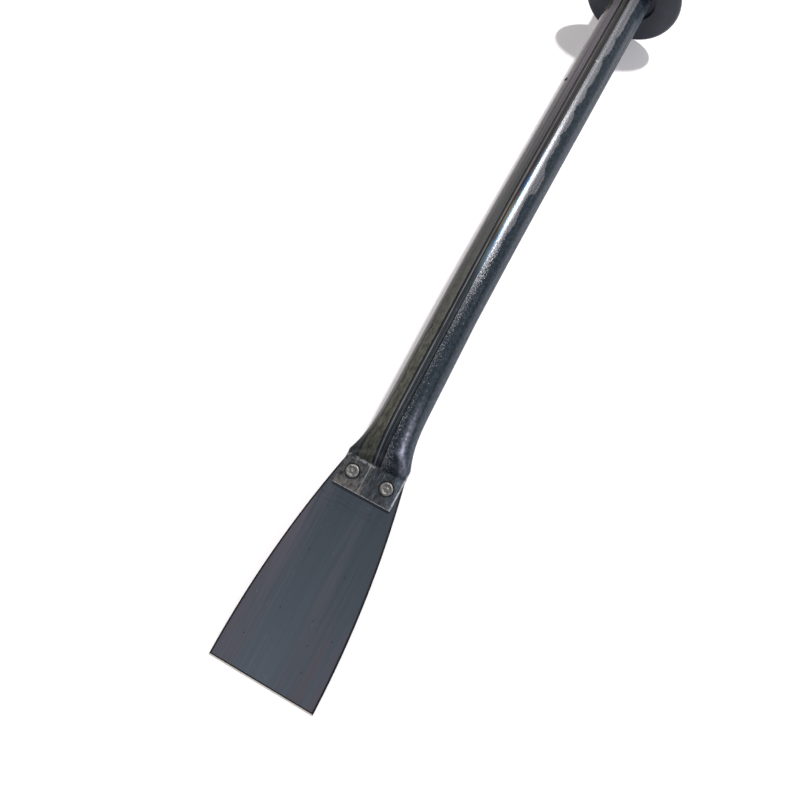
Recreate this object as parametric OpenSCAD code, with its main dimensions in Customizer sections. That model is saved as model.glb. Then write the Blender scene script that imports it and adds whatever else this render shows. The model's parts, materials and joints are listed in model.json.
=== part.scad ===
/* [Tube] */
// Outside diameter of the steel tube
tube_d = 25; // [20:0.5:32]
// Wall of the steel tube
tube_wall = 1; // [0.8:0.1:2.2]
// Straight length of tube between the bend and the hand guard
shaft_len = 165; // [80:1:300]
// Length of tube pushed into the grip
grip_depth = 112; // [80:1:160]
// Angle of the bend that lifts the grip clear of the work
bend_angle = 7; // [2:0.5:20]
// Radius of the bend, on the axis of the tube
bend_r = 600; // [250:10:900]
// Straight length of tube from the bend to the cut end of the tongue
lower_len = 133; // [90:1:250]

/* [Pressed end] */
// Length of the flat tongue, from its cut end to the crease
crease_len = 19; // [17:0.5:30]
// Distance from the crease to the shoulders, where the flare is widest
shoulder_gap = 5.5; // [1:0.5:12]
// Length of the flare from the crease up to the round tube
flare_len = 52.5; // [30:0.5:60]
// Height of the underside of the tongue above the underside of the tube
tongue_rise = 3.5; // [0:0.5:9]

/* [Blade] */
// Thickness of the spring steel blade
blade_t = 1.5; // [1:0.1:3]
// Width of the cutting edge
blade_w = 68; // [50:1:120]
// Length of blade below the cut end of the tongue
blade_reach = 118; // [60:1:180]
// Distance from the hidden end of the blade to the crease
blade_gap = 1; // [0.5:0.5:4]
// Radius of the curved sides, which run parallel at the cutting edge
side_r = 620; // [450:10:1200]
// Length of the bevel ground on top of the cutting edge
bevel_len = 0.7; // [0.5:0.1:6]
// Thickness left at the cutting edge
edge_t = 0.6; // [0.3:0.1:0.9]

/* [Rivets] */
// Diameter of the rivet shanks
rivet_d = 4; // [3:0.5:6]
// Diameter of the round rivet heads
head_d = 8.2; // [6.5:0.1:10]
// Height of the round rivet heads
head_h = 1.4; // [1:0.1:2.5]
// Diameter of the flush tails in the underside of the blade
tail_d = 6.4; // [6.1:0.1:8]
// Distance between the two rivets
rivet_pitch = 22.5; // [16:0.5:25]
// Distance from the rivets to the cut end of the tongue
rivet_inset = 10.5; // [8:0.5:13]
// Radial clearance of the rivets in their holes
rivet_fit = 0.05; // [0.02:0.01:0.2]

/* [Grip] */
// Length of the grip, from the face of the guard to the closed end
grip_len = 122; // [115:1:180]
// Diameter of the grip at the middle of its barrel
grip_d = 34; // [30:0.5:42]
// How far the barrel tapers in at each end, on the radius
grip_swell = 1.5; // [0.5:0.1:3]
// Radius of the rounding at the closed end
end_r = 6; // [2:0.5:10]
// Diameter of the hand guard
guard_d = 64.5; // [48:0.5:90]
// Thickness of the hand guard
guard_t = 5; // [3:0.5:8]
// Radius of the fillet behind the hand guard
guard_fillet = 4; // [1:0.5:8]
// Diameter of the recess around the tube in the face of the guard
recess_d = 32; // [28:0.5:40]
// Depth of the recess around the tube
recess_depth = 3; // [1:0.5:4]
// Distance between the grooves of the barrel
groove_pitch = 6; // [4:0.5:12]
// Radius of the rounded bottom of a groove
groove_r = 1.4; // [0.8:0.1:2]
// Depth of a groove
groove_depth = 0.8; // [0.3:0.1:1.2]
// Length of the plain stretch at each end of the barrel
plain_len = 14; // [8:1:30]
// Diameter of the vent hole in the closed end
vent_d = 4; // [2:0.5:8]
// Radial clearance between the tube and the bore of the grip
grip_fit = 0.1; // [0.05:0.05:0.4]

/* [Hidden] */

steel_colour = "#565b60";
blade_colour = "#4c545c";
rivet_colour = "#77797c";
grip_colour = "#2a2c31";

// Facets of the round sections, and of the long shallow arcs
round_fn = 96;
arc_fn = 720;
// Overshoot of a cut past the face that it opens
past = 1;
// Lap of one stretch of tube into the next, and the metal by which one covers the other
joint_lap = 1;
skin = 0.03;

// The tongue is two walls thick, and as wide as the tube's girth laid flat
tongue_t = 2*tube_wall;
tongue_w = (PI*tube_d - (PI - 2)*tongue_t)/2;
tongue_floor = tongue_rise - tube_d/2;
flare_top = crease_len + flare_len;
shoulder_len = crease_len + shoulder_gap;
blade_lap = crease_len - blade_gap;

// The barrel of the grip is an arc of large radius along its length
rim_r = guard_t/2;
barrel_half = (grip_len - guard_t)/2;
barrel_mid = guard_t + barrel_half;
barrel_r = (barrel_half*barrel_half + grip_swell*grip_swell)/(2*grip_swell);
end_core = barrel_at(grip_len - end_r) - end_r;
grooves = floor((2*barrel_half - 2*plain_len)/groove_pitch);
function barrel_at(z) = grip_d/2 - barrel_r + sqrt(barrel_r*barrel_r - pow(z - barrel_mid, 2));

// The tool lies on the cutting edge of the blade and the rim of the guard
function from_leg(x, z) = [
    x*cos(bend_angle) - (z + bend_r)*sin(bend_angle),
    x*sin(bend_angle) + (z + bend_r)*cos(bend_angle) - bend_r
];
tip = from_leg(-lower_len - blade_reach, tongue_floor - blade_t);
rim = [shaft_len + rim_r, rim_r - guard_d/2];
span = rim - tip;
lie_angle = atan2(span[1], span[0]) - asin(rim_r/norm(span));
function laid(p) = [
    p[0]*cos(lie_angle) + p[1]*sin(lie_angle),
    p[1]*cos(lie_angle) - p[0]*sin(lie_angle)
];
front_x = laid(tip)[0] - edge_t*sin(bend_angle - lie_angle);
back_x = laid([shaft_len + grip_len - end_r, end_core])[0] + end_r;

// From the frame of the upper leg, at the top of the bend with +X up the tube, to the tool at rest
module resting() {
    translate([-(front_x + back_x)/2, 0, -laid(tip)[1]])
        rotate([0, lie_angle, 0])
            children();
}

// From the cut end of the tongue, on the axis of the lower leg with +X up the tube
module on_leg() {
    resting()
        translate([0, 0, -bend_r])
            rotate([0, -bend_angle, 0])
                translate([-lower_len, 0, bend_r])
                    children();
}

// Both rivets stand on the top of the tongue
module at_rivet(side) {
    on_leg()
        translate([rivet_inset, side*rivet_pitch/2, tongue_floor + tongue_t])
            children();
}

// Section of the tube, its wall thicker by extra on both sides
module tube_ring(extra = 0) {
    difference() {
        circle(d = tube_d + 2*extra, $fn = round_fn);
        circle(d = tube_d - 2*tube_wall - 2*extra, $fn = round_fn);
    }
}

// Straight round tube from x = start to x = stop
module straight_tube(start, stop) {
    translate([start, 0, 0])
        rotate([0, 90, 0])
            linear_extrude(stop - start)
                tube_ring();
}

// The flare is pressed from round to flat: 1 where the tube is flat, 0 where it is round
flare_power = 4;
function pressed(u, from) =
    u <= from ? 1 : pow(max(0, 1 - (u - from)/(flare_top - from)), flare_power);
function flare_w(u) = tube_d + (tongue_w - tube_d)*pressed(u, shoulder_len);
function flare_h(u) = tube_d - (tube_d - tongue_t)*pressed(u, crease_len);
function flare_mid(u) =
    flare_h(u)/2 - tube_d/2 + tongue_rise*(tube_d - flare_h(u))/(tube_d - tongue_t);

// Section of the flare at u, shrunk by inset: a full arch between two folded edges near the
// tongue, which opens into a circle up the tube. The folds shrink by their own amount, edge
flare_points = 40;
arch = 0.35;
fold = 0.7;
function signed_power(v, p) = sign(v)*pow(abs(v), p);
function flare_section(u, inset, edge) = [
    for (i = [0:flare_points - 1])
        let (
            a = 360*i/flare_points,
            s = pressed(u, crease_len),
            rise = (flare_h(u) - tongue_t)/2 - (inset - edge),
            y = (flare_w(u)/2 - inset)*cos(a),
            z = rise*signed_power(sin(a), 1 - arch*s)
                + (tongue_t/2 - edge)*signed_power(sin(a), 1 - fold*s)
        )
        [u, y, flare_mid(u) + z]
];

// Stations close up towards the crease, where the shape changes fastest. The first and last
// rings lap into the tongue and the round tube, and lie a little deeper in the metal there
flare_rings = 16;
bore_rings = 12;
joint_skin = 0.3;
bore_start = 1.5;
function stations(from, count) = [
    for (i = [0:count - 1])
        from + (flare_top - joint_lap/2 - from)*pow(i/(count - 1), 2)
];
outer_u = stations(crease_len + joint_lap/4, flare_rings);
bore_u = stations(crease_len + bore_start, bore_rings);

// Both skins of the flare in one closed shell
module flare() {
    outer = [
        each flare_section(crease_len - joint_lap, joint_skin, joint_skin),
        for (u = outer_u) each flare_section(u, skin, skin),
        each flare_section(flare_top + joint_lap, joint_skin, joint_skin)
    ];
    bore = [
        for (u = bore_u) each flare_section(u, tube_wall - skin, tongue_t/2),
        each flare_section(flare_top + joint_lap, tube_wall - joint_skin, tongue_t/2)
    ];
    n = flare_points;
    last = len(outer_u) + 1;
    inner = len(outer);
    deep = len(bore_u);
    function ring(at, i) = at + i%n;
    sides = [
        for (k = [0:last - 1], i = [0:n - 1])
            each [
                [ring(k*n, i), ring(k*n + n, i), ring(k*n, i + 1)],
                [ring(k*n, i + 1), ring(k*n + n, i), ring(k*n + n, i + 1)]
            ]
    ];
    walls = [
        for (k = [0:deep - 1], i = [0:n - 1])
            let (at = inner + k*n)
            each [
                [ring(at, i), ring(at, i + 1), ring(at + n, i)],
                [ring(at, i + 1), ring(at + n, i + 1), ring(at + n, i)]
            ]
    ];
    mouth = [
        for (i = [0:n - 1])
            let (o = last*n, b = inner + deep*n)
            each [
                [ring(o, i), ring(b, i), ring(o, i + 1)],
                [ring(o, i + 1), ring(b, i), ring(b, i + 1)]
            ]
    ];
    front = [[for (i = [0:n - 1]) i]];
    back = [[for (i = [n - 1:-1:0]) inner + i]];
    polyhedron(concat(outer, bore), concat(front, sides, walls, mouth, back));
}

// Flat bar with folded round edges
module tongue() {
    translate([0, 0, tongue_floor + tongue_t/2]) {
        translate([0, (tongue_t - tongue_w)/2, -tongue_t/2])
            cube([crease_len, tongue_w - tongue_t, tongue_t]);
        for (side = [-1, 1])
            translate([0, side*(tongue_w - tongue_t)/2, 0])
                rotate([0, 90, 0])
                    cylinder(d = tongue_t, h = crease_len, $fn = round_fn);
    }
}

// Welded steel tube, bent once, with its lower end pressed flat
module handle_tube() {
    color(steel_colour)
        difference() {
            union() {
                resting() {
                    straight_tube(0, shaft_len + grip_depth);
                    translate([0, 0, -bend_r])
                        rotate([90, -90, 0])
                            rotate_extrude(angle = bend_angle, $fn = arc_fn)
                                translate([bend_r, 0])
                                    tube_ring(skin);
                }
                on_leg() {
                    straight_tube(flare_top, lower_len + joint_lap);
                    flare();
                    tongue();
                }
            }
            for (side = [-1, 1])
                at_rivet(side)
                    translate([0, 0, -tongue_t - past])
                        cylinder(d = rivet_d + 2*rivet_fit, h = tongue_t + 2*past, $fn = round_fn);
        }
}

// Outline of the blade between two large arcs, from the cutting edge to the hidden end
module blade_outline() {
    intersection() {
        translate([-blade_reach, -blade_w/2])
            square([blade_reach + blade_lap, blade_w]);
        intersection_for(side = [-1, 1])
            translate([-blade_reach, side*(side_r - blade_w/2)])
                circle(r = side_r, $fn = arc_fn);
    }
}

// Spring steel blade under the tongue, ground on top of its cutting edge
module blade() {
    color(blade_colour)
        difference() {
            on_leg()
                translate([0, 0, tongue_floor - blade_t])
                    difference() {
                        linear_extrude(blade_t)
                            blade_outline();
                        translate([-blade_reach, blade_w/2 + past, 0])
                            rotate([90, 0, 0])
                                linear_extrude(blade_w + 2*past)
                                    bevel_cut();
                    }
            for (side = [-1, 1])
                at_rivet(side)
                    rivet_hole();
        }
}

module bevel_cut() {
    slope = (blade_t - edge_t)/bevel_len;
    polygon([
        [-past, edge_t - past*slope],
        [bevel_len + past, blade_t + past*slope],
        [-past, blade_t + past*slope]
    ]);
}

// Hole through the blade, countersunk from below for the tail
module rivet_hole() {
    rotate_extrude($fn = round_fn)
        polygon([
            [0, -tongue_t + past],
            [rivet_d/2 + rivet_fit, -tongue_t + past],
            [rivet_d/2 + rivet_fit, -tongue_t],
            [tail_d/2 + rivet_fit, -tongue_t - blade_t],
            [tail_d/2 + rivet_fit, -tongue_t - blade_t - past],
            [0, -tongue_t - blade_t - past]
        ]);
}

// Round head on the tongue, shank, and tail closed flush with the underside of the blade
module rivet(side) {
    dome_r = (head_d*head_d/4 + head_h*head_h)/(2*head_h);
    color(rivet_colour)
        at_rivet(side) {
            intersection() {
                cylinder(d = head_d, h = head_h, $fn = round_fn);
                translate([0, 0, head_h - dome_r])
                    sphere(r = dome_r, $fn = round_fn);
            }
            translate([0, 0, -tongue_t])
                cylinder(d = rivet_d, h = tongue_t + head_h/2, $fn = round_fn);
            translate([0, 0, -tongue_t - blade_t])
                cylinder(d1 = tail_d, d2 = rivet_d, h = blade_t, $fn = round_fn);
        }
}

module rivet_left() {
    rivet(1);
}

module rivet_right() {
    rivet(-1);
}

// Half section of the grip: radius across, distance from the face of the guard upwards
module grip_body() {
    square([guard_d/2 - rim_r, guard_t]);
    translate([guard_d/2 - rim_r, rim_r])
        circle(r = rim_r, $fn = round_fn);
    difference() {
        square([barrel_at(guard_t) + guard_fillet, guard_t + guard_fillet]);
        translate([barrel_at(guard_t) + guard_fillet, guard_t + guard_fillet])
            circle(r = guard_fillet, $fn = round_fn);
    }
    intersection() {
        union() {
            square([grip_d/2, grip_len - end_r]);
            square([end_core, grip_len]);
            translate([end_core, grip_len - end_r])
                circle(r = end_r, $fn = round_fn);
        }
        translate([grip_d/2 - barrel_r, barrel_mid])
            circle(r = barrel_r, $fn = arc_fn);
    }
}

module grip_hollows() {
    translate([0, -past])
        square([recess_d/2, recess_depth + past]);
    square([tube_d/2 + grip_fit, grip_depth]);
    square([vent_d/2, grip_len + past]);
    for (i = [0:grooves]) {
        z = barrel_mid + (i - grooves/2)*groove_pitch;
        translate([barrel_at(z) + groove_r - groove_depth, z])
            circle(r = groove_r, $fn = round_fn);
    }
}

// Moulded grip with its hand guard, pushed onto the end of the tube
module grip() {
    color(grip_colour)
        resting()
            translate([shaft_len, 0, 0])
                rotate([0, 90, 0])
                    rotate_extrude($fn = round_fn)
                        difference() {
                            grip_body();
                            grip_hollows();
                        }
}

blade();
handle_tube();
rivet_left();
rivet_right();
grip();
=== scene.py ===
import json
from math import atan2, cos, pi, radians, sin, sqrt

import bmesh
import bpy
from mathutils import Matrix, Vector


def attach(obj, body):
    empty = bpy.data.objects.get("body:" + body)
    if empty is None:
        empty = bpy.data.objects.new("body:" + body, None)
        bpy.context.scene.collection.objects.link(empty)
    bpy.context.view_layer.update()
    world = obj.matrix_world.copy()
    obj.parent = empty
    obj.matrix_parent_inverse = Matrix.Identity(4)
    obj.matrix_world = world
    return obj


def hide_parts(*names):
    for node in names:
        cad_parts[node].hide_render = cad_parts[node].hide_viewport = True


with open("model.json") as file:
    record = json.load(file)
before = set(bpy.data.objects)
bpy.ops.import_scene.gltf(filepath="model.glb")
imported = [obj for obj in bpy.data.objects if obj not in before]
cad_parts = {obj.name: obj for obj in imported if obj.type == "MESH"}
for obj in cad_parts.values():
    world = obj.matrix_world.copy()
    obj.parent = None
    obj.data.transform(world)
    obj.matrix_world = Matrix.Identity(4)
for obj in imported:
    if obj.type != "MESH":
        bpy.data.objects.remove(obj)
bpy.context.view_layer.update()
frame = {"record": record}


# BLADE
# A flat plate of blued spring steel, sheared to two long curved sides and ground along the top of
# its cutting edge. It lies under the tongue of the handle tube, and two rivets hold it there.

mm = 0.001
blade_t = 1.5*mm
blade_w = 68*mm
blade_reach = 118*mm  # out from the cut end of the tongue
blade_lap = 18*mm  # under the tongue
blade_top = -9*mm  # below the axis of the tube
side_r = 620*mm
side_steps = 32
shear_round = 0.5*mm
grind_len = 0.7*mm
edge_t = 0.6*mm
scale_line = 0.7*mm
rivet_r = 2*mm
tail_r = 3.2*mm
rivet_fit = 0.05*mm
rivet_inset = 10.5*mm  # up from the cut end of the tongue
rivet_half_pitch = 11.25*mm
back_mount_out = 60*mm  # the mount on its back, from the cut end of the tongue
hair = 0.1*mm  # what is closer than this counts as level

# The lower leg of the tool: from the cut end of the tongue, on the axis of the tube, with +X up the
# tube and +Z away from the blade. The back of the blade is one of the part's mounts.
mounts = {mount["name"]: mount for mount in frame["record"]["mounts"]}
off_blade = -Vector(mounts["blade_back"]["axis"])
up_tube = Vector((0, 1, 0)).cross(off_blade)
lower_leg = Matrix((up_tube, (0, 1, 0), off_blade)).transposed().to_4x4()
lower_leg.translation = (Vector(mounts["blade_back"]["pos_m"]) + back_mount_out*up_tube
                         - (blade_top - blade_t)*off_blade)


def pick(test):
    """Selects the vertices that pass the test, and the edges and faces between them."""
    bpy.ops.mesh.select_mode(type="VERT")
    shape = bmesh.from_edit_mesh(bpy.context.object.data)
    for vert in shape.verts:
        vert.select = bool(test(vert.co))
    shape.select_flush(True)
    shape.select_flush(False)
    bmesh.update_edit_mesh(bpy.context.object.data)


def pick_edges(test):
    """Selects the edges whose way from end to end passes the test."""
    bpy.ops.mesh.select_mode(type="EDGE")
    shape = bmesh.from_edit_mesh(bpy.context.object.data)
    for edge in shape.edges:
        edge.select = bool(test(edge.verts[1].co - edge.verts[0].co))
    shape.select_flush_mode()
    bmesh.update_edit_mesh(bpy.context.object.data)


def settle(piece, place):
    """Moves a piece from its own frame to its place on the tool, and leaves that in its mesh."""
    bpy.ops.object.select_all(action="DESELECT")
    piece.select_set(True)
    bpy.context.view_layer.objects.active = piece
    piece.matrix_world = place
    bpy.ops.object.transform_apply()


bpy.ops.object.select_all(action="DESELECT")
bpy.ops.mesh.primitive_cube_add(size=1)
blade = bpy.context.object
blade.name = "spring_steel_blade"
blade.scale = (blade_reach + blade_lap, blade_w, blade_t)
blade.location = ((blade_lap - blade_reach)/2, 0, blade_top - blade_t/2)
bpy.ops.object.transform_apply()

# The sides are cut to their curve at stations along the blade
bpy.ops.object.mode_set(mode="EDIT")
pick_edges(lambda way: abs(way.x) > blade_w)
bpy.ops.mesh.subdivide(number_cuts=side_steps - 1)
for step in range(side_steps + 1):
    station = -blade_reach + (blade_reach + blade_lap)*step/side_steps
    half = blade_w/2 - side_r + sqrt(side_r**2 - (station + blade_reach)**2)
    pick(lambda co: abs(co.x - station) < hair)
    bpy.ops.transform.resize(value=(1, 2*half/blade_w, 1))

# Shearing leaves the two sides rounded and dark along their edges
pick_edges(lambda way: abs(way.x) > 2*mm and abs(way.z) < hair)
bpy.ops.mesh.bevel(offset=shear_round, offset_type="OFFSET", segments=3)

# The cutting edge is ground down from above, and a dark line of scale is left behind the bevel
for cut in (grind_len, grind_len + scale_line):
    bpy.ops.mesh.select_all(action="SELECT")
    bpy.ops.mesh.bisect(plane_co=(-blade_reach + cut, 0, 0), plane_no=(1, 0, 0))
pick(lambda co: co.x < -blade_reach + hair)
shape = bmesh.from_edit_mesh(blade.data)
for vert in shape.verts:
    if vert.select:
        vert.co.z = blade_top - blade_t + (vert.co.z - blade_top + blade_t)*edge_t/blade_t
bmesh.update_edit_mesh(blade.data)
bpy.ops.object.mode_set(mode="OBJECT")

# Two rivet holes, countersunk from below for the tails
for side in (-1, 1):
    bpy.ops.object.select_all(action="DESELECT")
    bpy.ops.mesh.primitive_cone_add(
        vertices=64, depth=2*blade_t,
        radius1=tail_r + rivet_fit + (tail_r - rivet_r)/2,
        radius2=rivet_r + rivet_fit - (tail_r - rivet_r)/2,
        location=(rivet_inset, side*rivet_half_pitch, blade_top - blade_t/2))
    countersink = bpy.context.object
    bpy.context.view_layer.objects.active = blade
    hole = blade.modifiers.new("rivet hole", "BOOLEAN")
    hole.operation = "DIFFERENCE"
    hole.object = countersink
    bpy.ops.object.modifier_apply(modifier=hole.name)
    bpy.data.objects.remove(countersink)
settle(blade, lower_leg)
bpy.ops.object.shade_smooth_by_angle(angle=radians(25))


def linear(colour):
    """The linear value of an sRGB hex colour."""
    parts = [int(colour[i:i + 2], 16)/255 for i in (1, 3, 5)]
    return [c/12.92 if c <= 0.04045 else ((c + 0.055)/1.055)**2.4 for c in parts] + [1]


def new_finish(name):
    """Starts a material, and gives it with its node tree and its shader."""
    material = bpy.data.materials.new(name)
    material.use_nodes = True
    return material, material.node_tree, material.node_tree.nodes["Principled BSDF"]


def add(tree, kind, settings):
    """Adds a node. A setting is one of its properties, or the value or the link of an input."""
    made = tree.nodes.new("ShaderNode" + kind)
    for name, value in settings.items():
        if isinstance(name, str) and hasattr(made, name):
            setattr(made, name, value)
        elif isinstance(value, bpy.types.NodeSocket):
            tree.links.new(value, made.inputs[name])
        else:
            made.inputs[name].default_value = value
    return made.outputs


def keep(tree, mask, value, *fades):
    """Fades a mask out along a value. Each fade runs from where it is 0 to where it is 1."""
    for start, stop in fades:
        fade = add(tree, "MapRange", {"Value": value, "From Min": start, "From Max": stop})[0]
        mask = add(tree, "Math", {"operation": "MULTIPLY", 0: mask, 1: fade})[0]
    return mask


# Blued spring steel, rolled lengthwise: its thin oxide is a dark blue-grey, paler towards the
# cutting edge, with faint long streaks of the rolls, a purplish cast in places from the bluing, and
# a few fine scratches and specks from use
blued, tree, shader = new_finish("blued_spring_steel")
place = add(tree, "TexCoord", {})["Object"]
axes = add(tree, "SeparateXYZ", {0: place})
# Its marks, by their length and width. Only the crest of a scratch shows, drawn 0.25 mm wide, which
# is wider than a real one. The smears lie across the blade
blade_marks = {}
for name, length, width, detail, turned, shift in (
        ("streak", 70*mm, 1.2*mm, 4, 0, (0, 0, 0)),
        ("cast", 150*mm, 14*mm, 2, 0, (3.1, 0.4, 0)),
        ("strand", 90*mm, 4*mm, 3, 0, (0, 0, 0)),
        ("scratch", 9*mm, 0.45*mm, 0, 62, (0, 0, 0)),
        ("smear", 1*mm, 12*mm, 3, 0, (0, 0, 0))):
    stretched = add(tree, "Mapping", {
        "Vector": place, "Location": shift, "Rotation": (0, 0, radians(turned)),
        "Scale": (1/length, 1/width, 0)})[0]
    blade_marks[name] = add(tree, "TexNoise", {
        "Scale": 1, "Detail": detail, "Vector": stretched})[0]

# The cast is strongest on the left and at the right of the cutting edge, where it is in strands
casting = add(tree, "MapRange", {
    "interpolation_type": "SMOOTHSTEP", "Value": blade_marks["cast"],
    "From Min": 0.5, "From Max": 0.75, "To Max": 0.45})[0]
left_side = add(tree, "MapRange", {
    "interpolation_type": "SMOOTHSTEP", "Value": axes["Y"],
    "From Min": 8*mm, "From Max": 26*mm})[0]
right_side = add(tree, "MapRange", {
    "interpolation_type": "SMOOTHSTEP", "Value": axes["Y"],
    "From Min": 2*mm, "From Max": -18*mm})[0]
by_edge = add(tree, "MapRange", {
    "interpolation_type": "SMOOTHSTEP", "Value": axes["X"],
    "From Min": -240*mm, "From Max": -280*mm})[0]
by_edge = add(tree, "Math", {"operation": "MULTIPLY", 0: right_side, 1: by_edge})[0]
strands = add(tree, "MapRange", {
    "Value": blade_marks["strand"], "From Min": 0.38, "From Max": 0.58, "To Min": 0.1})[0]
stranded = add(tree, "Math", {"operation": "MAXIMUM", 0: left_side, 1: by_edge})[0]
stranded = add(tree, "Math", {"operation": "MULTIPLY", 0: stranded, 1: strands})[0]
casting = add(tree, "Math", {"operation": "MAXIMUM", 0: casting, 1: stranded})[0]

# Specks lie 24 mm apart and are 0.8 mm across
scratched = add(tree, "MapRange", {
    "Value": blade_marks["scratch"], "From Min": 0.83, "From Max": 0.88, "To Max": 0.6})[0]
speck = add(tree, "TexVoronoi", {
    "voronoi_dimensions": "2D", "Scale": 1/(24*mm), "Vector": place})[0]
specked = add(tree, "MapRange", {
    "Value": speck, "From Min": 0.02, "From Max": 0.012, "To Max": 0.85})[0]
# Riveting left dark smears just below the tongue
tip = lower_leg @ Vector((-blade_reach, 0, 0))
from_tip = add(tree, "VectorMath", {"operation": "DOT_PRODUCT", 0: place, 1: up_tube})["Value"]
from_tip = add(tree, "Math", {"operation": "SUBTRACT", 0: from_tip, 1: tip.dot(up_tube)})[0]
smeared = add(tree, "MapRange", {
    "Value": blade_marks["smear"], "From Min": 0.5, "From Max": 0.7, "To Max": 0.5})[0]
smeared = keep(tree, smeared, from_tip, (blade_reach - 14*mm, blade_reach - 9*mm),
               (blade_reach - 2*mm, blade_reach - 4*mm))
# Scale is left in a line along the sheared sides, whose curve is worked out as for the mesh
minus = add(tree, "Math", {"operation": "MULTIPLY", 0: from_tip, 1: -1})[0]
curve = add(tree, "Math", {"operation": "MULTIPLY_ADD", 0: from_tip, 1: minus, 2: side_r**2})[0]
curve = add(tree, "Math", {"operation": "SQRT", 0: curve})[0]
curve = add(tree, "Math", {"operation": "ADD", 0: curve, 1: blade_w/2 - side_r})[0]
off_middle = add(tree, "Math", {"operation": "ABSOLUTE", 0: axes["Y"]})[0]
off_side = add(tree, "Math", {"operation": "SUBTRACT", 0: curve, 1: off_middle})[0]
sheared = add(tree, "MapRange", {
    "Value": off_side, "From Min": 1.9*scale_line, "From Max": 1.4*scale_line})[0]

# Its colours, from the bluing up
toward_edge = add(tree, "MapRange", {
    "Value": axes["X"], "From Min": -190*mm, "From Max": -300*mm})[0]
bluing = add(tree, "Mix", {
    "data_type": "RGBA", 0: toward_edge, 6: linear("#303a43"), 7: linear("#49525b")})[2]
streaked = add(tree, "MapRange", {
    "Value": blade_marks["streak"], "From Min": 0.3, "From Max": 0.7,
    "To Min": 0.9, "To Max": 1.1})[0]
for blend, mask, colour in (
        ("MIX", casting, linear("#4e4d56")), ("MULTIPLY", right_side, linear("#f2f2f2")),
        ("MULTIPLY", 1, streaked), ("MIX", scratched, linear("#8b8f93")),
        ("MIX", specked, linear("#15171a")), ("MIX", smeared, linear("#1c2227")),
        ("MIX", sheared, linear("#0a0b0c"))):
    bluing = add(tree, "Mix", {
        "data_type": "RGBA", "blend_type": blend, 0: mask, 6: bluing, 7: colour})[2]
rolled = add(tree, "MapRange", {
    "Value": blade_marks["streak"], "From Min": 0.3, "From Max": 0.7,
    "To Min": 0.36, "To Max": 0.42})[0]
rolls = add(tree, "Bump", {
    "Strength": 0.06, "Distance": 0.2*mm, "Height": blade_marks["streak"]})[0]
for socket, value in (("Base Color", bluing), ("Roughness", rolled), ("Normal", rolls)):
    tree.links.new(value, shader.inputs[socket])

# The sheared outline is rough and nearly black with scale, in a grit of 1 mm
scaled, tree, shader = new_finish("sheared_edge_scale")
grit = add(tree, "TexNoise", {
    "Scale": 1/(1*mm), "Vector": add(tree, "TexCoord", {})["Object"]})[0]
crust = add(tree, "Mix", {
    "data_type": "RGBA", 0: grit, 6: linear("#070708"), 7: linear("#1b1d20")})[2]
tree.links.new(crust, shader.inputs["Base Color"])
shader.inputs["Specular IOR Level"].default_value = 0.1
shader.inputs["Roughness"].default_value = 0.7

# The ground bevel is bright, with the marks of the stone across it, drawn 0.3 mm wide to show
ground, tree, shader = new_finish("ground_steel")
stone = add(tree, "Mapping", {
    "Vector": add(tree, "TexCoord", {})["Object"], "Scale": (1/(10*mm), 1/(0.3*mm), 1/(10*mm))})[0]
stone = add(tree, "TexNoise", {"Scale": 1, "Detail": 1, "Vector": stone})[0]
bright = add(tree, "Mix", {
    "data_type": "RGBA", 0: stone, 6: linear("#a8a292"), 7: linear("#d3cdbd")})[2]
tree.links.new(bright, shader.inputs["Base Color"])
shader.inputs["Metallic"].default_value = 1
shader.inputs["Roughness"].default_value = 0.4

for finish in (blued, scaled, ground):
    blade.data.materials.append(finish)
for face in blade.data.polygons:
    behind = (face.center - tip).dot(up_tube)
    on_top = face.normal.dot(off_blade) > 0.5
    if abs(face.normal.y) > 0.2:
        face.material_index = 1
    elif on_top and behind < grind_len:
        face.material_index = 2
    elif on_top and behind < grind_len + scale_line:
        face.material_index = 1

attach(blade, "root")
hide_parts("blade")


# HANDLE TUBE
# One length of welded steel tube, bent once so that the hand clears the work. Its lower end is
# pressed flat into a tongue two walls thick, which spreads to half the girth of the tube.

tube_r = 12.5*mm
tube_wall = 1*mm
lower_len = 133*mm
bend_r = 600*mm
bend = radians(7)
shaft_len = 165*mm
grip_depth = 112*mm
open_end = 30*mm  # how deep the bore is drawn at the upper end
crease_len = 19*mm
crease_round = 0.35*mm
crease_reach = 30*mm
shoulder_len = 24.5*mm
flare_top = 71.5*mm
flare_ease = 4
flare_steps = 34
step_ease = 1.7
tongue_rise = 3.5*mm
tongue_t = 2*tube_wall
tongue_half = (2*pi*tube_r - (pi - 2)*tongue_t)/4
crown_ease = 0.35
slit = 0.12*mm
slit_depth = 3*mm
filed_len = 0.18*mm
lean = 1.4*mm
lean_top = 120*mm
lean_ease = 0.45
lean_steps = 8
left_drop = 3*mm
around = 128
strip_half = 2.4*mm
head_r = 4.1*mm  # of the rivets, which stand on the tongue


def pressed(run, start):
    """1 where the tube is pressed flat, 0 where it is round."""
    if run <= start:
        return 1.0
    return max(0.0, 1 - (run - start)/(flare_top - start))**flare_ease


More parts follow.
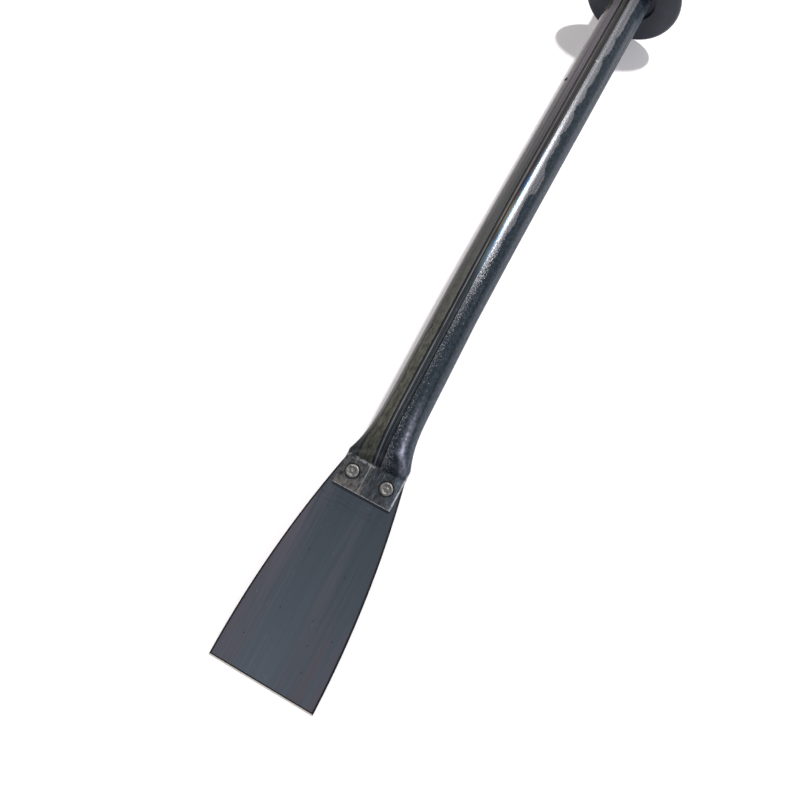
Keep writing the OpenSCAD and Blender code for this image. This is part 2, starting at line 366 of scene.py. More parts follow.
def pressed_ring(run):
    """Section of the tube at a distance from its cut end: an arch between two folded edges."""
    past = max(0.0, run - crease_len)
    if past < crease_reach:
        past = sqrt(past**2 + crease_round**2) - crease_round
    flat = pressed(crease_len + past, crease_len)
    left_half = tube_r + (tongue_half - tube_r)*pressed(run, shoulder_len - left_drop)
    right_half = tube_r + (tongue_half - tube_r)*pressed(run, shoulder_len)
    if shoulder_len < run < lean_top:
        right_half += lean*sin(pi*((run - shoulder_len)/(lean_top - shoulder_len))**lean_ease)
    height = 2*tube_r - (2*tube_r - tongue_t)*flat
    middle = height/2 - tube_r + tongue_rise*(2*tube_r - height)/(2*tube_r - tongue_t)
    rise = (height - tongue_t)/2
    points = []
    for i in range(around):
        angle = 2*pi*i/around
        half = left_half if cos(angle) > 0 else right_half
        across = half*cos(angle)
        crown = abs(sin(angle))
        fold = max(0.0, abs(across) - half + tongue_t/2)
        edge = flat*sqrt(max(0.0, (tongue_t/2)**2 - fold**2)) + (1 - flat)*crown*tongue_t/2
        lift = rise*crown**(1 - crown_ease*flat) + edge
        points.append((across, middle + (lift if sin(angle) >= 0 else -lift)))
    return points


bpy.ops.object.select_all(action="DESELECT")
bpy.ops.mesh.primitive_circle_add(vertices=around, radius=tube_r, fill_type="NGON")
tube = bpy.context.object
tube.name = "welded_handle_tube"
bpy.ops.object.mode_set(mode="EDIT")
shape = bmesh.from_edit_mesh(tube.data)
place_in_ring = shape.verts.layers.int.new("number")
shape.verts.layers.float.new("girth")
for i, vert in enumerate(shape.verts):
    vert[place_in_ring] = i


def set_ring(run, points):
    """Gives the selected ring its section, and each point its distance round from the top."""
    shape = bmesh.from_edit_mesh(tube.data)
    number = shape.verts.layers.int["number"]
    girth = shape.verts.layers.float["girth"]
    top = around//4
    reach = [0.0]
    for i in range(around//2):
        a = Vector(points[(top - i) % around])
        b = Vector(points[(top - i - 1) % around])
        reach.append(reach[-1] + (a - b).length)
    for vert in shape.verts:
        if vert.select:
            i = vert[number]
            vert.co = (run, *points[i])
            back = (top - i) % around
            ahead = (i - top) % around
            share = reach[back] if back <= ahead else -reach[ahead]
            vert[girth] = share*pi*tube_r/reach[-1]
    bmesh.update_edit_mesh(tube.data)


# The two walls meet in a fine slit at the cut end, whose rim is broken a little with a file
tongue = pressed_ring(0)
tongue_middle = tongue_rise - tube_r + tongue_t/2
slit_ring, filed_ring = (
    [(wide*y, tongue_middle + thick*(z - tongue_middle)) for y, z in tongue]
    for wide, thick in ((0.96, slit/tongue_t), (0.993, 0.88)))
set_ring(slit_depth, slit_ring)
for run, ring in ((0, slit_ring), (0, filed_ring), (filed_len, tongue)):
    bpy.ops.mesh.extrude_region_move()
    set_ring(run, ring)

# The tongue, then the flare from the crease to the round tube, pressed a little to the right
stations = [4*mm, 10*mm, 15*mm, 18*mm]
stations += [crease_len + (flare_top - crease_len)*(i/flare_steps)**step_ease
             for i in range(flare_steps + 1)]
stations += [flare_top + (lean_top - flare_top)*i/lean_steps for i in range(1, lean_steps + 1)]
for run in stations:
    bpy.ops.mesh.extrude_region_move()
    set_ring(run, pressed_ring(run))

# The lower leg, the bend and the upper leg, whose end stops inside the grip
bpy.ops.mesh.extrude_region_move(TRANSFORM_OT_translate={"value": (lower_len - lean_top, 0, 0)})
bpy.ops.mesh.spin(steps=16, angle=bend, center=(lower_len, 0, -bend_r), axis=(0, -1, 0))
shaft = Vector((cos(bend), 0, -sin(bend)))
for length in (shaft_len, grip_depth):
    bpy.ops.mesh.extrude_region_move(TRANSFORM_OT_translate={"value": shaft*length})
bpy.ops.mesh.extrude_region_move()
bpy.ops.transform.resize(value=[(tube_r - tube_wall)/tube_r]*3)
bpy.ops.mesh.extrude_region_move(TRANSFORM_OT_translate={"value": shaft*-open_end})
bpy.ops.mesh.edge_face_add()
bpy.ops.mesh.select_all(action="SELECT")
bpy.ops.mesh.normals_make_consistent(inside=False)
bpy.ops.object.mode_set(mode="OBJECT")

# The skin's own map: distance along the tube, and distance round it from its top
skin = tube.data.uv_layers.new(name="tube_skin")
girths = [item.value for item in tube.data.attributes["girth"].data]


def run_at(co):
    """Distance from the cut end, along the axis of the tube."""
    if co.x <= lower_len:
        return co.x
    turned = atan2(co.x - lower_len, co.z + bend_r)
    if turned <= bend:
        return lower_len + bend_r*turned
    knee = Vector((lower_len + bend_r*sin(bend), 0, bend_r*cos(bend) - bend_r))
    return lower_len + bend_r*bend + (co - knee).dot(shaft)


for face in tube.data.polygons:
    values = [girths[i] for i in face.vertices]
    wraps = max(values) - min(values) > pi*tube_r
    for loop, value in zip(face.loop_indices, values):
        co = tube.data.vertices[tube.data.loops[loop].vertex_index].co
        skin.data[loop].uv = (run_at(co), value + (2*pi*tube_r if wraps and value < 0 else 0))
settle(tube, lower_leg)
bpy.ops.object.shade_smooth_by_angle(angle=radians(28))


def soft_line(tree, value, middle, edge, full, strength=1):
    """A line where a value is at its middle. It fades from its full half width out to its edge."""
    off = add(tree, "Math", {"operation": "SUBTRACT", 0: value, 1: middle})[0]
    off = add(tree, "Math", {"operation": "ABSOLUTE", 0: off})[0]
    return add(tree, "MapRange", {
        "interpolation_type": "SMOOTHSTEP", "Value": off,
        "From Min": edge, "From Max": full, "To Max": strength})[0]


# Welded mill-finish steel tube: a thin dark oxide that shines like varnish. A strip 4.8 mm wide was
# scarfed smooth along the weld, a little to one side of the top. The heat left a duller, paler band
# on both sides of it: olive and mottled on the left, scalloped on the right above the bend, and
# broken into grains below it. The rest of the skin is a glossy blue-black. The press has scuffed
# the tongue and rubbed its edges bright. A pale highlight is also painted on those edges and on the
# right shoulder of the flare, bright glints on grains in the bend, and a shadow round the rivets.
mill, tree, shader = new_finish("welded_mill_steel_tube")
skin_map = add(tree, "UVMap", {"uv_map": "tube_skin"})[0]
skin_axes = add(tree, "SeparateXYZ", {0: skin_map})
along, girth = skin_axes["X"], skin_axes["Y"]
# Its marks, by their length along the tube and their width round it. The lines of the tube mill
# (drawn), of the scarfing tool and of the scuffs are drawn wide enough to show
marks = {}
for name, length, width, detail, roughness, turned in (
        ("wander", 16*mm, 30*mm, 3, 0.5, 0), ("fray", 2.2*mm, 2.2*mm, 4, 0.5, 0),
        ("mottle", 5*mm, 2.5*mm, 6, 0.7, 0), ("grain", 0.9*mm, 0.7*mm, 5, 0.65, 0),
        ("flake", 2*mm, 0.9*mm, 2, 0.5, 0), ("drawn", 90*mm, 1.5*mm, 3, 0.5, 0),
        ("scarfed", 160*mm, 0.8*mm, 3, 0.5, 0), ("patch", 4*mm, 2.2*mm, 6, 0.7, 0),
        ("scuff", 8*mm, 0.6*mm, 2, 0.5, 12)):
    stretched = add(tree, "Mapping", {
        "Vector": skin_map, "Rotation": (0, 0, radians(turned)),
        "Scale": (1/length, 1/width, 0)})[0]
    marks[name] = add(tree, "TexNoise", {
        "Scale": 1, "Detail": detail, "Roughness": roughness, "Vector": stretched})[0]
wander, fray, mottle, grain = (marks[name] for name in ("wander", "fray", "mottle", "grain"))

# Where a place on the skin lies: left or right of the weld, on the tongue, or low, below the bend
weld_at = add(tree, "MapRange", {
    "Value": along, "From Max": 200*mm, "To Min": 0.4*mm, "To Max": 1.4*mm})[0]
off_weld = add(tree, "Math", {"operation": "SUBTRACT", 0: girth, 1: weld_at})[0]
aside = add(tree, "Math", {"operation": "ABSOLUTE", 0: off_weld})[0]
left = add(tree, "MapRange", {"Value": off_weld, "From Min": -1*mm, "From Max": 1*mm})[0]
right = add(tree, "Math", {"operation": "SUBTRACT", 0: 1, 1: left})[0]
on_tongue = add(tree, "MapRange", {
    "Value": along, "From Min": crease_len + 0.6*mm, "From Max": crease_len - 0.4*mm})[0]
off_tongue = add(tree, "Math", {"operation": "SUBTRACT", 0: 1, 1: on_tongue})[0]
low = add(tree, "MapRange", {
    "interpolation_type": "SMOOTHSTEP", "Value": along, "From Min": 180*mm, "From Max": 120*mm})[0]
low = add(tree, "Math", {"operation": "MULTIPLY", 0: low, 1: off_tongue})[0]

# How far the heated band reaches from the weld. Its edge wanders and frays. On the right it hangs
# in scallops 13 mm long, with one deep lobe above the bend, and both sides widen into the flare
scallop = add(tree, "TexVoronoi", {
    "voronoi_dimensions": "1D", "Scale": 1/(13*mm), "W": along})[0]
scallop = add(tree, "Math", {"operation": "MULTIPLY", 0: scallop, 1: scallop})[0]
scallop = add(tree, "Math", {"operation": "MULTIPLY_ADD", 0: scallop, 1: -2.8*mm, 2: 0.3*mm})[0]
scallop = keep(tree, scallop, along, (220*mm, 260*mm))
lobe_at = 210.5*mm
lobe = soft_line(tree, along, lobe_at, 12*mm, 5*mm, 2.7*mm)
right_flare = add(tree, "MapRange", {
    "Value": along, "From Min": 55*mm, "From Max": 30*mm, "To Max": 3*mm})[0]
right_reach = add(tree, "MapRange", {
    "Value": along, "From Min": 60*mm, "From Max": 180*mm, "To Min": -2.8*mm, "To Max": 3.2*mm})[0]
left_flare = add(tree, "MapRange", {
    "Value": along, "From Min": 56*mm, "From Max": 32*mm, "To Max": 3*mm})[0]
left_reach = add(tree, "MapRange", {
    "Value": along, "From Min": 90*mm, "From Max": 160*mm, "To Min": 3.6*mm, "To Max": 4.9*mm})[0]
for part, size in ((right_flare, 1), (scallop, 1), (lobe, 1), (wander, 6*mm)):
    right_reach = add(tree, "Math", {
        "operation": "MULTIPLY_ADD", 0: part, 1: size, 2: right_reach})[0]
for part, size in ((left_flare, 1), (mottle, 1*mm), (wander, 7*mm)):
    left_reach = add(tree, "Math", {
        "operation": "MULTIPLY_ADD", 0: part, 1: size, 2: left_reach})[0]
# On the right, below the bend, the band breaks up into grains of loose scale about 1 mm across
broken = add(tree, "MapRange", {
    "Value": grain, "From Min": 0.3, "From Max": 0.7, "To Min": -6*mm, "To Max": 5.5*mm})[0]
for mask in (low, right):
    broken = add(tree, "Math", {"operation": "MULTIPLY", 0: broken, 1: mask})[0]
inside = add(tree, "Mix", {0: left, 2: right_reach, 3: left_reach})[0]
for part, size in ((fray, 1.8*mm), (broken, 1), (aside, -1)):
    inside = add(tree, "Math", {"operation": "MULTIPLY_ADD", 0: part, 1: size, 2: inside})[0]
heated = add(tree, "MapRange", {
    "interpolation_type": "SMOOTHSTEP", "Value": inside,
    "From Min": -0.25*mm, "From Max": 0.25*mm})[0]
heated = add(tree, "Math", {"operation": "MULTIPLY", 0: heated, 1: off_tongue})[0]
bare = add(tree, "Math", {"operation": "MULTIPLY", 0: heated, 1: right})[0]

# The skin has a fine grain and blotches. It is browner on its left, and paler and duller on its
# right flank
skin_shade = add(tree, "MapRange", {
    "Value": grain, "From Min": 0.35, "From Max": 0.65, "To Min": 0.62, "To Max": 1.42})[0]
blotch = add(tree, "MapRange", {
    "Value": fray, "From Min": 0.35, "From Max": 0.65, "To Min": 0.75, "To Max": 1.3})[0]
skin_shade = add(tree, "Math", {"operation": "MULTIPLY", 0: skin_shade, 1: blotch})[0]
brown = add(tree, "MapRange", {
    "interpolation_type": "SMOOTHSTEP", "Value": along, "From Min": -10*mm, "From Max": 65*mm})[0]
brown = add(tree, "Math", {"operation": "MULTIPLY", 0: brown, 1: left})[0]
flank = add(tree, "MapRange", {
    "interpolation_type": "SMOOTHSTEP", "Value": girth, "From Min": -11*mm, "From Max": -16*mm})[0]
tone = linear("#2d353c")
for blend, mask, colour in (("MIX", brown, linear("#4a4c46")), ("MIX", flank, linear("#49525b")),
                            ("MULTIPLY", 1, skin_shade)):
    tone = add(tree, "Mix", {
        "data_type": "RGBA", "blend_type": blend, 0: mask, 6: tone, 7: colour})[2]

# The band is olive and mottled on the left below the bend, purplish near the guard, and grey scale
# on the right. In the bend, grains of the scale are painted bright as glints of the lamp's
# highlight
near_guard = add(tree, "MapRange", {"Value": along, "From Min": 200*mm, "From Max": 300*mm})[0]
olive = add(tree, "MapRange", {
    "interpolation_type": "SMOOTHSTEP", "Value": along, "From Min": 200*mm, "From Max": 60*mm})[0]
olive = add(tree, "Math", {"operation": "MULTIPLY", 0: olive, 1: left})[0]
mottled = add(tree, "MapRange", {
    "Value": mottle, "From Min": 0.35, "From Max": 0.65, "To Min": 0.45, "To Max": 1.45})[0]
painted_glint_at = 150*mm
painted_glint = soft_line(tree, along, painted_glint_at, 24*mm, 8*mm, 0.6)
painted_glint = keep(tree, painted_glint, grain, (0.48, 0.6))
scale = add(tree, "Mix", {
    "data_type": "RGBA", 0: painted_glint, 6: linear("#6c6d71"), 7: linear("#b4b6ba")})[2]
band_shade = add(tree, "MapRange", {
    "Value": grain, "From Min": 0.35, "From Max": 0.65, "To Min": 0.72, "To Max": 1.35})[0]
dull = linear("#505151")
for blend, mask, colour in (
        ("MIX", near_guard, linear("#5b575c")), ("MIX", olive, linear("#52524a")),
        ("MULTIPLY", olive, mottled), ("MIX", bare, scale), ("MULTIPLY", 1, band_shade)):
    dull = add(tree, "Mix", {
        "data_type": "RGBA", "blend_type": blend, 0: mask, 6: dull, 7: colour})[2]

# Coats of colour over the skin, from the bottom up: each a blend, a mask and its colour
coats = [("MIX", heated, dull)]
# A few flakes 2 mm long lie beyond the grains, and the left of the band ends in a dark burnt fringe
flake = add(tree, "MapRange", {"Value": marks["flake"], "From Min": 0.66, "From Max": 0.72})[0]
flake = keep(tree, flake, aside, (11*mm, 6*mm), (strip_half, 3*mm))
for mask in (low, right):
    flake = add(tree, "Math", {"operation": "MULTIPLY", 0: flake, 1: mask})[0]
fringe = soft_line(tree, inside, -0.5*mm, 1.1*mm, 0.3*mm, 0.8)
for mask in (left, off_tongue):
    fringe = add(tree, "Math", {"operation": "MULTIPLY", 0: fringe, 1: mask})[0]
coats += [("MIX", flake, linear("#9a9998")), ("MIX", fringe, linear("#2b2827"))]

# The scarfed strip. Where the bend was drawn it keeps the pale green, straw, brown and blue of
# tempering, on its right half
strip = add(tree, "MapRange", {
    "interpolation_type": "SMOOTHSTEP", "Value": aside,
    "From Min": strip_half + 0.1*mm, "From Max": strip_half - 0.1*mm})[0]
strip = add(tree, "Math", {"operation": "MULTIPLY", 0: strip, 1: off_tongue})[0]
scarf = add(tree, "Mix", {
    "data_type": "RGBA", 0: low, 6: linear("#383737"), 7: linear("#31363a")})[2]
coats.append(("MIX", strip, scarf))
right_half = add(tree, "MapRange", {
    "interpolation_type": "SMOOTHSTEP", "Value": off_weld,
    "From Min": 0.5*mm, "From Max": -0.8*mm})[0]
for middle, half, hue in ((156*mm, 12*mm, "#6d7f82"), (182*mm, 14*mm, "#a4977c"),
                          (198*mm, 4*mm, "#6b4a3e"), (206*mm, 7*mm, "#2f5488"),
                          (215*mm, 4*mm, "#5d4a48")):
    tempered = soft_line(tree, along, middle, 1.3*half, 0.2*half, 0.32)
    for mask in (right_half, strip):
        tempered = add(tree, "Math", {"operation": "MULTIPLY", 0: tempered, 1: mask})[0]
    coats.append(("MIX", tempered, linear(hue)))
# Lines of the tube mill run along the whole skin, and those of the scarfing tool along the strip
drawn = add(tree, "MapRange", {
    "Value": marks["drawn"], "From Min": 0.3, "From Max": 0.7, "To Min": 0.7, "To Max": 1.26})[0]
scarfed = add(tree, "MapRange", {
    "Value": marks["scarfed"], "From Min": 0.35, "From Max": 0.65, "To Min": 0.3, "To Max": 1.8})[0]
coats += [("MULTIPLY", 1, drawn), ("MULTIPLY", strip, scarfed)]
# One line of the strip is scraped bright
scraped = soft_line(tree, off_weld, 1*mm, 0.45*mm, 0.15*mm)
fainter = add(tree, "MapRange", {
    "Value": along, "From Min": 110*mm, "From Max": 220*mm, "To Min": 0.5, "To Max": 0.25})[0]
patchy = add(tree, "MapRange", {
    "Value": wander, "From Min": 0.35, "From Max": 0.55, "To Min": 0.4})[0]
for mask in (fainter, off_tongue, patchy):
    scraped = add(tree, "Math", {"operation": "MULTIPLY", 0: scraped, 1: mask})[0]
# Its left border is a dark seam, scraped bright where it crosses the tongue. Its right border is
# another below the bend, and a blue line in the bend
border = soft_line(tree, aside, strip_half + 0.05*mm, 0.45*mm, 0.15*mm)
blue = add(tree, "Math", {"operation": "MULTIPLY", 0: border, 1: right})[0]
blue = keep(tree, blue, along, (110*mm, 150*mm), (240*mm, 200*mm))
seamed = add(tree, "Math", {"operation": "MAXIMUM", 0: left, 1: low})[0]
seamed = add(tree, "Math", {"operation": "MULTIPLY", 0: border, 1: seamed})[0]
seam = add(tree, "Mix", {
    "data_type": "RGBA", 0: on_tongue, 6: linear("#111114"), 7: linear("#8a8b8e")})[2]
coats += [("MIX", scraped, linear("#9fa2a6")), ("MIX", blue, linear("#4f7fa6")),
          ("MIX", seamed, seam)]

# The press wore the oxide off the tongue in brownish patches 4 mm long, most of them left of the
# seam and near the cut end, and scuffed it in lines 8 mm long
pressed_dark = add(tree, "MapRange", {
    "Value": mottle, "From Min": 0.35, "From Max": 0.65, "To Min": 0.35, "To Max": 1.25})[0]
near_cut = add(tree, "MapRange", {
    "Value": along, "From Min": 12*mm, "From Max": 0, "To Min": -0.03, "To Max": 0.1})[0]
patch = add(tree, "Math", {"operation": "ADD", 0: marks["patch"], 1: near_cut})[0]
patch = add(tree, "MapRange", {
    "Value": patch, "From Min": 0.44, "From Max": 0.64, "To Max": 0.85})[0]
mostly_left = add(tree, "MapRange", {"Value": left, "To Min": 0.2})[0]
for mask in (mostly_left, on_tongue):
    patch = add(tree, "Math", {"operation": "MULTIPLY", 0: patch, 1: mask})[0]
scuffed = add(tree, "MapRange", {
    "Value": marks["scuff"], "From Min": 0.6, "From Max": 0.76, "To Max": 0.7})[0]
scuffed = add(tree, "Math", {"operation": "MULTIPLY", 0: scuffed, 1: on_tongue})[0]
coats += [("MULTIPLY", on_tongue, pressed_dark), ("MIX", patch, linear("#6c6763")),
          ("MIX", scuffed, linear("#8d8a86"))]
# A black ring of painted shadow lies round the rivet heads, where their rims shade the tongue
for side in (-1, 1):
    off_rivet = add(tree, "VectorMath", {
        "operation": "DISTANCE", 0: skin_map, 1: (rivet_inset, side*rivet_half_pitch, 0)})["Value"]
    painted_rivet_shadow = add(tree, "MapRange", {
        "interpolation_type": "SMOOTHSTEP", "Value": off_rivet,
        "From Min": head_r + 1*mm, "From Max": head_r + 0.2*mm})[0]
    coats.append(("MIX", painted_rivet_shadow, linear("#08090a")))
# Its folded right edge, the rim of its cut end and the left of its crease are rubbed to the metal;
# their pale colour is partly a painted highlight
fold_at = -18.6*mm
fold = soft_line(tree, girth, fold_at, 0.75*mm, 0.35*mm)
fold = keep(tree, fold, along, (26*mm, 22*mm))
rim = add(tree, "MapRange", {"Value": along, "From Min": 0.5*mm, "From Max": 0.25*mm})[0]
wavy = add(tree, "Math", {"operation": "MULTIPLY_ADD", 0: wander, 1: 3*mm, 2: along})[0]
crease = soft_line(tree, wavy, crease_len + 1*mm, 1.6*mm, 0.3*mm, 0.4)
crease = add(tree, "Math", {"operation": "MULTIPLY", 0: crease, 1: left})[0]
crease = keep(tree, crease, fray, (0.45, 0.55))
rubbed_and_painted_sheen = add(tree, "Math", {"operation": "MAXIMUM", 0: fold, 1: rim})[0]
rubbed_and_painted_sheen = add(tree, "Math", {"operation": "MAXIMUM", 0: rubbed_and_painted_sheen, 1: crease})[0]
frayed = add(tree, "MapRange", {
    "Value": fray, "From Min": 0.42, "From Max": 0.58, "To Min": 0.35})[0]
rubbed_and_painted_sheen = add(tree, "Math", {"operation": "MULTIPLY", 0: rubbed_and_painted_sheen, 1: frayed})[0]
# A pale lavender highlight is painted on the right shoulder of the flare, in a band that runs up
# beside the tube; the band is also made a little metallic
shoulder = add(tree, "MapRange", {
    "Value": along, "From Min": 21*mm, "From Max": 33*mm, "To Min": -15.5*mm, "To Max": -9.4*mm})[0]
higher = add(tree, "MapRange", {
    "Value": along, "From Min": 33*mm, "From Max": 55*mm, "To Max": 1.4*mm})[0]
shoulder = add(tree, "Math", {"operation": "ADD", 0: shoulder, 1: higher})[0]
painted_shoulder_sheen = soft_line(tree, girth, shoulder, 3.4*mm, 0.3*mm)
painted_shoulder_sheen = keep(tree, painted_shoulder_sheen, along, (20.5*mm, 23*mm), (66*mm, 34*mm))
uneven = add(tree, "MapRange", {
    "Value": fray, "From Min": 0.38, "From Max": 0.6, "To Min": 0.35})[0]
painted_shoulder_sheen = add(tree, "Math", {"operation": "MULTIPLY", 0: painted_shoulder_sheen, 1: uneven})[0]
# A dark nick 9 mm long runs slanting on the left, below the guard, and a bright scratch 3 mm long
# lies near it
nick_foot, nick_slant = 282.3*mm, 0.5
scratch_at, scratch_size = (305*mm, -1.7*mm, 0), (0.4*mm, 1.6*mm, 1)
nick_line = add(tree, "Math", {
    "operation": "MULTIPLY_ADD", 0: girth, 1: nick_slant, 2: nick_foot})[0]
off_nick = add(tree, "Math", {"operation": "SUBTRACT", 0: along, 1: nick_line})[0]
off_nick = add(tree, "Math", {"operation": "ABSOLUTE", 0: off_nick})[0]
narrower = add(tree, "MapRange", {
    "Value": girth, "From Min": 13*mm, "From Max": 17*mm, "To Max": 0.8*mm})[0]
off_nick = add(tree, "Math", {"operation": "ADD", 0: off_nick, 1: narrower})[0]
nick = add(tree, "MapRange", {
    "interpolation_type": "SMOOTHSTEP", "Value": off_nick,
    "From Min": 1.6*mm, "From Max": 0.9*mm})[0]
nick = keep(tree, nick, girth, (11*mm, 12*mm), (21*mm, 20*mm))
off_scratch = add(tree, "Mapping", {
    "vector_type": "TEXTURE", "Vector": skin_map, "Location": scratch_at, "Scale": scratch_size})[0]
off_scratch = add(tree, "VectorMath", {"operation": "LENGTH", 0: off_scratch})["Value"]
scratch = add(tree, "MapRange", {
    "Value": off_scratch, "From Min": 1, "From Max": 0.6, "To Max": 0.7})[0]
coats += [("MIX", rubbed_and_painted_sheen, linear("#cdcdd1")), ("MIX", painted_shoulder_sheen, linear("#8b8b98")),
          ("MIX", nick, linear("#0c0a0b")), ("MIX", scratch, linear("#b5b6b8"))]
for blend, mask, colour in coats:
    tone = add(tree, "Mix", {
        "data_type": "RGBA", "blend_type": blend, 0: mask, 6: tone, 7: colour})[2]

# What is rubbed shines as metal, the scale and the painted highlight on the shoulder do so a
# little, and the rest has the gloss of its oxide
metal = add(tree, "Math", {"operation": "MAXIMUM", 0: bare, 1: painted_shoulder_sheen})[0]
metal = add(tree, "Math", {"operation": "MULTIPLY", 0: metal, 1: 0.32})[0]
metal = add(tree, "Math", {"operation": "MAXIMUM", 0: metal, 1: rubbed_and_painted_sheen})[0]
grainy = add(tree, "MapRange", {
    "Value": grain, "From Min": 0.35, "From Max": 0.65, "To Min": 0.22, "To Max": 0.3})[0]
rough = 0.15
for mask, value in ((bare, grainy), (flank, 0.6), (strip, 0.2), (on_tongue, 0.38), (nick, 0.9)):
    rough = add(tree, "Mix", {0: mask, 2: rough, 3: value})[0]
relief = add(tree, "Math", {"operation": "MULTIPLY", 0: grain, 1: heated})[0]
for mask, depth in ((seamed, -1.5), (nick, -6)):
    relief = add(tree, "Math", {"operation": "MULTIPLY_ADD", 0: mask, 1: depth, 2: relief})[0]
relief = add(tree, "Bump", {"Strength": 0.45, "Distance": 0.1*mm, "Height": relief})[0]
for socket, value in (("Base Color", tone), ("Metallic", metal), ("Roughness", rough),
                      ("Normal", relief)):
    tree.links.new(value, shader.inputs[socket])
shader.inputs["Specular IOR Level"].default_value = 0.2
tube.data.materials.append(mill)

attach(tube, "root")
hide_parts("handle_tube")


# RIVETS
# Two steel rivets through the tongue and the blade. Their heads were set round and then knocked
# flat and uneven with a hammer, and their tails fill the countersinks under the blade.

tongue_top = tongue_rise - tube_r + tongue_t
underside = blade_top - blade_t - tongue_top
head_gap = 0.02*mm
blow_w = 2*mm
blow_depth = 0.6*mm
struck_above = 0.6*mm
rivet_turn = 2  # radians, one rivet each way
# Radius and height above the tongue, from the tail up
rivet_profile = [(tail_r, underside), (rivet_r, blade_top - tongue_top), (rivet_r, head_gap),
                 (head_r - 0.15*mm, head_gap), (head_r, 0.2*mm), (head_r - 0.04*mm, 0.5*mm),
                 (3.9*mm, 0.8*mm), (3.6*mm, 1.0*mm), (3.2*mm, 1.12*mm), (2.8*mm, 1.1*mm),
                 (2.4*mm, 0.98*mm), (2.0*mm, 0.88*mm), (1.6*mm, 0.86*mm), (1.2*mm, 0.92*mm),
                 (0.8*mm, 1.0*mm), (0.3*mm, 1.02*mm)]


def turn(name, profile, corners, axis):
    """Draws a closed ring out along an axis, one radius and distance after another."""
    bpy.ops.object.select_all(action="DESELECT")
    bpy.ops.mesh.primitive_circle_add(
        vertices=corners, radius=profile[0][0], fill_type="NGON",
        location=axis*profile[0][1], rotation=axis.to_track_quat("Z", "Y").to_euler())
    piece = bpy.context.object
    piece.name = name
    bpy.ops.object.transform_apply()
    bpy.ops.object.mode_set(mode="EDIT")
    bpy.ops.mesh.select_mode(type="EDGE")
    bpy.ops.mesh.select_all(action="SELECT")
    for (old, start), (radius, stop) in zip(profile, profile[1:]):
        bpy.ops.mesh.extrude_region_move(TRANSFORM_OT_translate={"value": axis*(stop - start)})
        bpy.ops.transform.resize(value=[radius/old]*3, center_override=axis*stop)
    bpy.ops.mesh.edge_face_add()
    bpy.ops.mesh.select_all(action="SELECT")
    bpy.ops.mesh.normals_make_consistent(inside=False)
    bpy.ops.object.mode_set(mode="OBJECT")
    return piece


# Hammered steel: grey, rubbed bright on the high rings and dark in the dents, which are 1.6 mm wide
hammered, tree, shader = new_finish("hammered_rivet_steel")
dented = add(tree, "TexNoise", {
    "Scale": 1/(1.6*mm), "Detail": 4, "Vector": add(tree, "TexCoord", {})["Object"]})[0]
high = add(tree, "MapRange", {
    "Value": add(tree, "NewGeometry", {})["Pointiness"], "From Min": 0.44, "From Max": 0.55})[0]
high = add(tree, "Math", {"operation": "MULTIPLY_ADD", 0: dented, 1: 0.5, 2: high})[0]
grey = add(tree, "Mix", {
    "data_type": "RGBA", 0: high, 6: linear("#3a3a3c"), 7: linear("#8a8986")})[2]
rough = add(tree, "MapRange", {"Value": dented, "To Min": 0.42, "To Max": 0.6})[0]
relief = add(tree, "Bump", {"Strength": 0.35, "Distance": 0.3*mm, "Height": dented})[0]
for socket, value in (("Base Color", grey), ("Roughness", rough), ("Normal", relief)):
    tree.links.new(value, shader.inputs[socket])
shader.inputs["Metallic"].default_value = 1

# The first is hammered, and the second is its copy
first = turn("rivet_left_hammered", rivet_profile, 48, Vector((0, 0, 1)))
dents = bpy.data.textures.new("hammer_dents", "CLOUDS")
dents.noise_scale = blow_w
struck = first.vertex_groups.new(name="struck_head")
struck.add([vert.index for vert in first.data.vertices if vert.co.z > struck_above], 1, "REPLACE")
blows = first.modifiers.new("hammer blows", "DISPLACE")
blows.texture = dents
blows.strength = blow_depth
blows.vertex_group = struck.name
bpy.ops.object.modifier_apply(modifier=blows.name)
second = first.copy()
second.data = first.data.copy()
second.name = "rivet_right_hammered"
bpy.context.scene.collection.objects.link(second)
for rivet, name, side in ((first, "rivet_left", 1), (second, "rivet_right", -1)):
    seat = Matrix.Translation((rivet_inset, side*rivet_half_pitch, tongue_top))
    settle(rivet, lower_leg @ seat @ Matrix.Rotation(side*rivet_turn, 4, "Z"))
    bpy.ops.object.shade_smooth_by_angle(angle=radians(40))
    rivet.data.materials.append(hammered)
    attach(rivet, "root")
    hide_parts(name)


# GRIP
# One moulding of black rubber: a round hand guard with a recess where the tube enters, and a
# grooved barrel with a closed end. It is pushed onto the tube and held by its own stretch.

grip_len = 122*mm
grip_r = 17*mm
grip_swell = 1.5*mm
end_r = 6*mm
guard_r = 32.25*mm
guard_t = 5*mm
guard_fillet = 4*mm
recess_r = 16*mm
recess_depth = 3*mm
groove_pitch = 6*mm
groove_r = 1.4*mm
groove_depth = 0.8*mm
plain_len = 14*mm
vent_r = 2*mm
vent_break = 0.4*mm
rim_r = guard_t/2
barrel_half = (grip_len - guard_t)/2
barrel_mid = guard_t + barrel_half
barrel_r = (barrel_half**2 + grip_swell**2)/(2*grip_swell)
barrel_steps = 212
grooves = int((2*barrel_half - 2*plain_len)/groove_pitch)


def barrel(x):
    """Radius of the barrel at a distance from the face of the guard, grooves included."""
    radius = grip_r - barrel_r + sqrt(barrel_r**2 - (x - barrel_mid)**2)
    for i in range(grooves + 1):
        off = x - barrel_mid - (i - grooves/2)*groove_pitch
        if abs(off) < groove_r:
            radius = min(radius, radius + groove_r - groove_depth - sqrt(groove_r**2 - off**2))
    return radius


